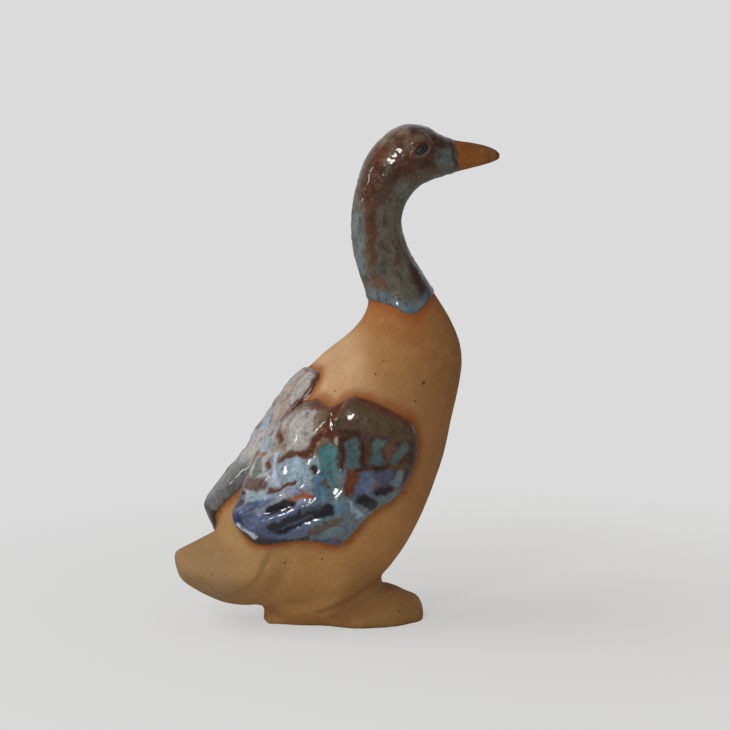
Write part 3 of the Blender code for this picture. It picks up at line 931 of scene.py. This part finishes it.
def new_group(name):
    """An empty group of nodes that puts out a colour and a surface height."""
    group = bpy.data.node_groups.new(name, "ShaderNodeTree")
    group.interface.new_socket("Colour", in_out="OUTPUT", socket_type="NodeSocketColor")
    group.interface.new_socket("Height", in_out="OUTPUT", socket_type="NodeSocketFloat")
    return group, group.nodes.new("NodeGroupOutput")


# The two largest iron spots: place on the duck and radius, in millimetres.
IRON_SPOTS = (((13.3, -14.2, 50.0), 0.5), ((-14.9, -14.2, 14.9), 0.35))


def bare_clay_group():
    """Colour and surface height of the unglazed clay."""
    group, out = new_group("bare_clay")
    place = add_node(group, "ShaderNodeTexCoord").outputs["Object"]
    # The clay's tones, with painted shade on the breast and on the leg under the belly.
    colour = attribute_value(group, "clay_tone_and_shade", "Color")
    broad = clouds(group, place, 8, 3)
    colour = blend(group, between(group, broad, 0.35, 0.7, 0, 0.35), colour, paint(SHADED_TAN))
    blush = clouds(group, place, 3.0, 4)
    colour = blend(group, between(group, blush, 0.5, 0.8, 0, 0.22), colour, paint(PALE_TAN))

    # The flash of orange fades out some 3 mm from the glaze, unevenly.
    uneven = sums(group, "SUBTRACT", blush, 0.5)
    near_glaze = sums(group, "MULTIPLY_ADD", uneven, 2.6, attribute_value(group, "glaze"))
    colour = blend(group, between(group, near_glaze, -2.8, 0.0, 0, 0.88), colour, paint(FLASH_ORANGE))
    grain = clouds(group, place, 0.30, 3, 0.7)
    colour = toned(group, colour, sums(group, "MULTIPLY_ADD", grain, 0.9, 0.55))

    # Iron specks: one to a cell about 2 mm wide, most of them too small to show.
    cells = add_node(group, "ShaderNodeTexVoronoi", {"Vector": place, "Scale": 1 / (1.9 * MM)})
    fleck = sums(group, "MULTIPLY", cells.outputs["Distance"], 2.2)
    sizes = add_node(group, "ShaderNodeSeparateColor", {"Color": cells.outputs["Color"]}).outputs["Red"]
    limit = between(group, sizes, 0.5, 1.0, 0.0, 0.30)
    speck = between(group, sums(group, "SUBTRACT", limit, fleck), -0.03, 0.06)
    for spot, size in IRON_SPOTS:
        away = add_node(
            group,
            "ShaderNodeVectorMath",
            {0: place, 1: [value * MM for value in spot]},
            operation="DISTANCE",
        ).outputs["Value"]
        speck = sums(group, "MAXIMUM", speck, between(group, away, size * MM, size * 0.6 * MM))
    colour = blend(group, sums(group, "MULTIPLY", speck, 0.7), colour, paint(IRON_BROWN))
    smears = clouds(group, place, 1.6, 4, 0.6)
    height = sums(group, "MULTIPLY_ADD", grain, 0.35, sums(group, "MULTIPLY", smears, 0.65))
    height = sums(group, "MULTIPLY_ADD", speck, -0.4, height)
    group.links.new(colour, out.inputs["Colour"])
    group.links.new(height, out.inputs["Height"])
    return group


def broken_glaze_group():
    """Colour and surface height of the glaze, on the wings and on head and neck."""
    group, out = new_group("broken_glaze")
    place = add_node(group, "ShaderNodeTexCoord").outputs["Object"]
    on_wing = attribute_value(group, "on_wing")
    off_wing = sums(group, "SUBTRACT", 1.0, on_wing)
    # The glaze's colours, with the painted highlights and reflections laid into them.
    colour = attribute_value(group, "glaze_colour_and_painted_light", "Color")

    # On head and neck it runs in rusty and greenish streaks. On the wings it is worn in patches.
    streak = clouds(group, attribute_value(group, "flow", "Vector"), 1.2, 3, 0.55, 0.4)
    worn = clouds(group, place, 1.2, 4, 0.65, 0.8)
    for share, where, strength, tint in (
        (between(group, streak, 0.48, 0.66), off_wing, 0.6, STREAK_RUST),
        (between(group, streak, 0.44, 0.28), off_wing, 0.45, STREAK_GREEN),
        (between(group, worn, 0.52, 0.68), on_wing, 0.5, WORN_BROWN),
    ):
        cover = sums(group, "MULTIPLY", sums(group, "MULTIPLY", share, where), strength)
        colour = blend(group, cover, colour, paint(tint))

    # Its depth varies in pools and fine mottling. At its edge it is thin and brown.
    mottle = clouds(group, place, 0.7, 3, 0.6)
    pools = clouds(group, place, 2.2, 3, 0.6, 0.5)
    deep = sums(group, "MULTIPLY_ADD", mottle, 0.7, sums(group, "MULTIPLY", pools, 1.2))
    colour = toned(group, colour, deep)
    thin = between(group, attribute_value(group, "glaze"), 0.35, 0.05, 0, 0.6)
    colour = blend(group, thin, colour, paint(THIN_BROWN))

    # Iron dots, one to a cell 1 mm wide, strong in some places and missing in others.
    dots = add_node(group, "ShaderNodeTexVoronoi", {"Vector": place, "Scale": 1 / (1.0 * MM)})
    speck = between(group, dots.outputs["Distance"], 0.24, 0.10)
    strong = clouds(group, place, 4, 2)
    speck = sums(group, "MULTIPLY", speck, between(group, strong, 0.45, 0.62, 0, 0.75))
    colour = blend(group, speck, colour, paint(IRON_DOT))
    ripples = clouds(group, place, 1.5, 3)
    pebbled = sums(group, "MULTIPLY_ADD", off_wing, 1.3, 0.25)
    height = sums(group, "MULTIPLY_ADD", mottle, pebbled, ripples)
    group.links.new(colour, out.inputs["Colour"])
    group.links.new(height, out.inputs["Height"])
    return group


CLAY_BUMP = 0.10 * MM
GLAZE_BUMP = 0.18 * MM
BUMP_STRENGTH = 0.7
CLAY_ROUGHNESS = 0.82
COAT_ROUGHNESS = 0.05
SPECULAR_LEVEL = 0.25


def fired_stoneware():
    """Bare clay and glaze in one material, parted at the glaze's edge."""
    material = bpy.data.materials.new("fired_stoneware")
    material.use_nodes = True
    tree = material.node_tree
    shader = tree.nodes["Principled BSDF"]
    clay = add_node(tree, "ShaderNodeGroup", node_tree=bare_clay_group())
    glass = add_node(tree, "ShaderNodeGroup", node_tree=broken_glaze_group())
    place = add_node(tree, "ShaderNodeTexCoord").outputs["Object"]
    ragged = sums(tree, "SUBTRACT", clouds(tree, place, 0.8, 3), 0.5)
    edge = sums(tree, "MULTIPLY_ADD", ragged, 0.5, attribute_value(tree, "glaze"))
    covered = between(tree, edge, -0.08, 0.10)
    colour = blend(tree, covered, clay.outputs["Colour"], glass.outputs["Colour"])
    tree.links.new(colour, shader.inputs["Base Color"])
    glaze_roughness = between(tree, clouds(tree, place, 4, 2), 0.3, 0.7, 0.12, 0.26)
    rough = add_node(tree, "ShaderNodeMix", {0: covered, 2: CLAY_ROUGHNESS, 3: glaze_roughness}).outputs[0]
    tree.links.new(rough, shader.inputs["Roughness"])
    tree.links.new(covered, shader.inputs["Coat Weight"])
    shader.inputs["Coat Roughness"].default_value = COAT_ROUGHNESS
    shader.inputs["Specular IOR Level"].default_value = SPECULAR_LEVEL
    bumps = []
    for surface, depth in ((clay, CLAY_BUMP), (glass, GLAZE_BUMP)):
        inputs = {"Height": surface.outputs["Height"], "Distance": depth, "Strength": BUMP_STRENGTH}
        bumps.append(add_node(tree, "ShaderNodeBump", inputs).outputs["Normal"])
    normal = add_node(tree, "ShaderNodeMix", {0: covered, 4: bumps[0], 5: bumps[1]}, data_type="VECTOR")
    tree.links.new(normal.outputs[1], shader.inputs["Normal"])
    return material


duck_mesh.materials.append(fired_stoneware())
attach(duck, "root")
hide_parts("duck")


# Studio floor
# A plain pale table top, wide enough to fill the view to its horizon, where it meets a backdrop of the
# same tone. Near the duck it has painted shade on the breast's side, a little darker and warmer.
FLOOR_HALF_WIDTH = 12.0
BACKDROP_TONE = (0.71, 0.71, 0.715, 1.0)
TAIL_SIDE_TONE = (0.705, 0.705, 0.70, 1.0)
BREAST_SIDE_SHADE = (0.67, 0.66, 0.63, 1.0)
TABLE_TONE = (0.76, 0.757, 0.74, 1.0)

floor_mesh = bpy.data.meshes.new("studio_floor")
bm = bmesh.new()
bmesh.ops.create_grid(bm, x_segments=1, y_segments=1, size=FLOOR_HALF_WIDTH)
bm.to_mesh(floor_mesh)
bm.free()
floor = bpy.data.objects.new("studio_floor", floor_mesh)
bpy.context.scene.collection.objects.link(floor)


def pale_floor():
    """Matt near the duck, where its shadow lies, and more of an even tone for the camera further off, with
    painted shade on the breast's side.
    """
    material = bpy.data.materials.new("pale_floor")
    material.use_nodes = True
    tree = material.node_tree
    tree.nodes.clear()
    out = tree.nodes.new("ShaderNodeOutputMaterial")
    matt = add_node(tree, "ShaderNodeBsdfDiffuse", {"Color": TABLE_TONE})
    place = add_node(tree, "ShaderNodeTexCoord").outputs["Object"]
    reach = add_node(tree, "ShaderNodeVectorMath", {0: place}, operation="LENGTH").outputs["Value"]
    across = add_node(tree, "ShaderNodeSeparateXYZ", {"Vector": place}).outputs["X"]
    # Painted shade: darker and warmer on the breast's side of the duck.
    beside = blend(tree, between(tree, across, -0.06, 0.10), TAIL_SIDE_TONE, BREAST_SIDE_SHADE)
    tone = blend(tree, between(tree, reach, 0.04, 0.18), beside, BACKDROP_TONE)
    path = add_node(tree, "ShaderNodeLightPath")
    # The glaze mirrors the even tone dimly, so that its dark colours stay dark.
    strength = sums(tree, "MULTIPLY_ADD", path.outputs["Is Glossy Ray"], -0.8, 1.0)
    even = add_node(tree, "ShaderNodeEmission", {"Color": tone, "Strength": strength})
    far = between(tree, reach, 0.03, 0.16, 0.66, 1.0)
    seen = sums(tree, "MAXIMUM", path.outputs["Is Camera Ray"], path.outputs["Is Glossy Ray"])
    share = sums(tree, "MULTIPLY", far, seen)
    mixed = add_node(tree, "ShaderNodeMixShader", {0: share, 1: matt.outputs[0], 2: even.outputs[0]})
    tree.links.new(mixed.outputs[0], out.inputs["Surface"])
    return material


floor_mesh.materials.append(pale_floor())


# Studio light
# Two windows, which show as highlights in the glaze, a wide soft panel behind the tail that lights the
# clay without being mirrored, and a pale room. The glaze mirrors it dimly, paler beyond the duck.
AIM = Vector((0.003, 0.0, 0.055))
ROOM_STRENGTH = 0.36
NEAR_WALL_STRENGTH = 0.08
FAR_WALL_STRENGTH = 0.42


def soft_panel(name, azimuth, elevation, distance, wide, tall, power, colour):
    """A soft light on a sphere round the duck. Azimuth 0 is the duck's right and -90 its tail."""
    data = bpy.data.lights.new(name, "AREA")
    data.shape = "RECTANGLE"
    data.size = wide
    data.size_y = tall
    data.energy = power
    data.color = colour
    turn = math.radians(azimuth)
    rise = math.radians(elevation)
    direction = Vector((math.sin(turn) * math.cos(rise), -math.cos(turn) * math.cos(rise), math.sin(rise)))
    panel = bpy.data.objects.new(name, data)
    panel.location = AIM + direction * distance
    panel.rotation_euler = (-direction).to_track_quat("-Z", "Y").to_euler()
    bpy.context.scene.collection.objects.link(panel)
    return panel


soft_panel("near_window", -35, 31, 1.0, 0.16, 0.25, 2.6, (1.0, 0.985, 0.96))
soft_panel("tail_window", -92, 20, 1.0, 0.11, 0.18, 0.9, (0.94, 0.96, 1.0))
back_panel = soft_panel("back_panel", -95, 38, 1.1, 1.2, 1.0, 7.2, (0.97, 0.985, 1.0))
back_panel.visible_glossy = False

world = bpy.data.worlds.new("studio_room")
bpy.context.scene.world = world
world.use_nodes = True
tree = world.node_tree
tree.nodes.clear()
path = add_node(tree, "ShaderNodeLightPath")
room = add_node(tree, "ShaderNodeBackground", {"Color": (1.0, 0.99, 0.98, 1.0), "Strength": ROOM_STRENGTH})
towards = add_node(tree, "ShaderNodeTexCoord").outputs["Generated"]
beyond = add_node(tree, "ShaderNodeSeparateXYZ", {"Vector": towards}).outputs["Y"]
wall = between(tree, beyond, 0.1, 0.9, NEAR_WALL_STRENGTH, FAR_WALL_STRENGTH)
dim = add_node(tree, "ShaderNodeBackground", {"Color": (0.98, 0.99, 1.0, 1.0), "Strength": wall})
backdrop = add_node(tree, "ShaderNodeBackground", {"Color": BACKDROP_TONE, "Strength": 1.0})
glossy = path.outputs["Is Glossy Ray"]
mirrored = add_node(tree, "ShaderNodeMixShader", {0: glossy, 1: room.outputs[0], 2: dim.outputs[0]})
in_view = path.outputs["Is Camera Ray"]
mixed = add_node(tree, "ShaderNodeMixShader", {0: in_view, 1: mirrored.outputs[0], 2: backdrop.outputs[0]})
world_out = tree.nodes.new("ShaderNodeOutputWorld")
tree.links.new(mixed.outputs[0], world_out.inputs["Surface"])


# Camera
# A long lens on the duck's right, a little towards its tail and just above it. Its angle of view is
# the picture's width, 730 across, at 2970 away.
CAMERA_DISTANCE = 0.600
CAMERA_AZIMUTH = math.radians(-13)
CAMERA_ELEVATION = math.radians(8)
CAMERA_AIM = Vector((0.00461, 0.0, 0.05190))
SENSOR_WIDTH = 36.0
LENS_PER_SENSOR = 2970 / 730

level = math.cos(CAMERA_ELEVATION)
towards_eye = Vector(
    (math.sin(CAMERA_AZIMUTH) * level, -math.cos(CAMERA_AZIMUTH) * level, math.sin(CAMERA_ELEVATION))
)
camera_data = bpy.data.cameras.new("camera")
camera_data.sensor_width = SENSOR_WIDTH
camera_data.lens = SENSOR_WIDTH * LENS_PER_SENSOR
camera_data.clip_start = 0.01
camera = bpy.data.objects.new("camera", camera_data)
camera.location = CAMERA_AIM + towards_eye * CAMERA_DISTANCE
camera.rotation_euler = (-towards_eye).to_track_quat("-Z", "Y").to_euler()
bpy.context.scene.collection.objects.link(camera)
bpy.context.scene.camera = camera
bpy.context.scene.view_settings.view_transform = "Standard"
